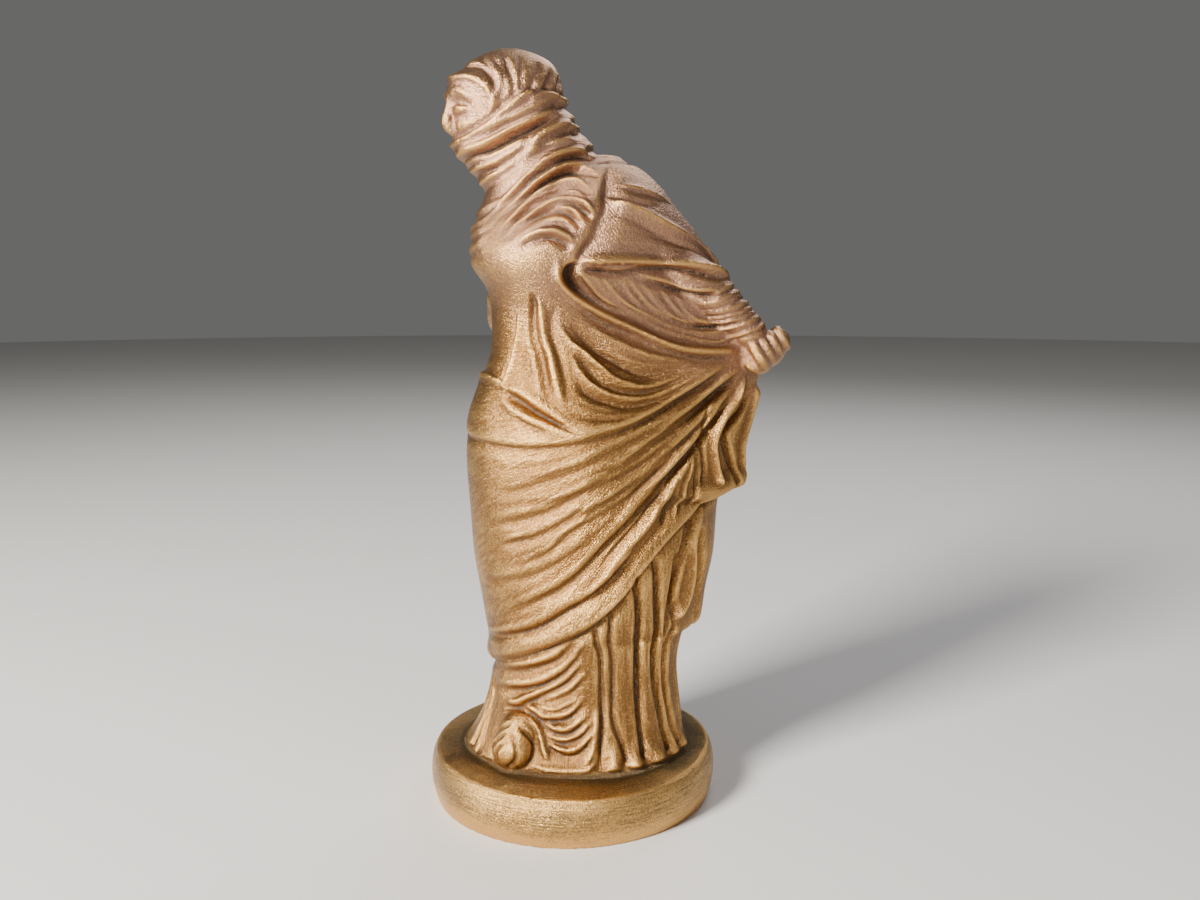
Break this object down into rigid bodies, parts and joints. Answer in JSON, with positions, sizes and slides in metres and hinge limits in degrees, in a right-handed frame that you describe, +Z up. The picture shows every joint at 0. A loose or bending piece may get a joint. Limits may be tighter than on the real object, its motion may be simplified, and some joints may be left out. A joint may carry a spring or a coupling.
{
  "type": "draped dancer statuette",
  "caption": "Small bronze statuette of a veiled, mantle-wrapped dancer leaning forward, on a low round base cast in one with the figure.",
  "frame": {"origin": "centre of the round base's underside", "axes": "+Z up; the figure faces and leans towards -X; the hand that holds the mantle out behind the figure is towards +X; -Y is the side with the open sweep of the mantle"},
  "size_m": [0.1379, 0.112, 0.28],
  "materials": {
    "bronze": "cast bronze with a warm brown patina, rubbed bright on the raised folds"
  },
  "bodies": {
    "root": {"veiled_dancer": "bronze"}
  },
  "joints": []
}
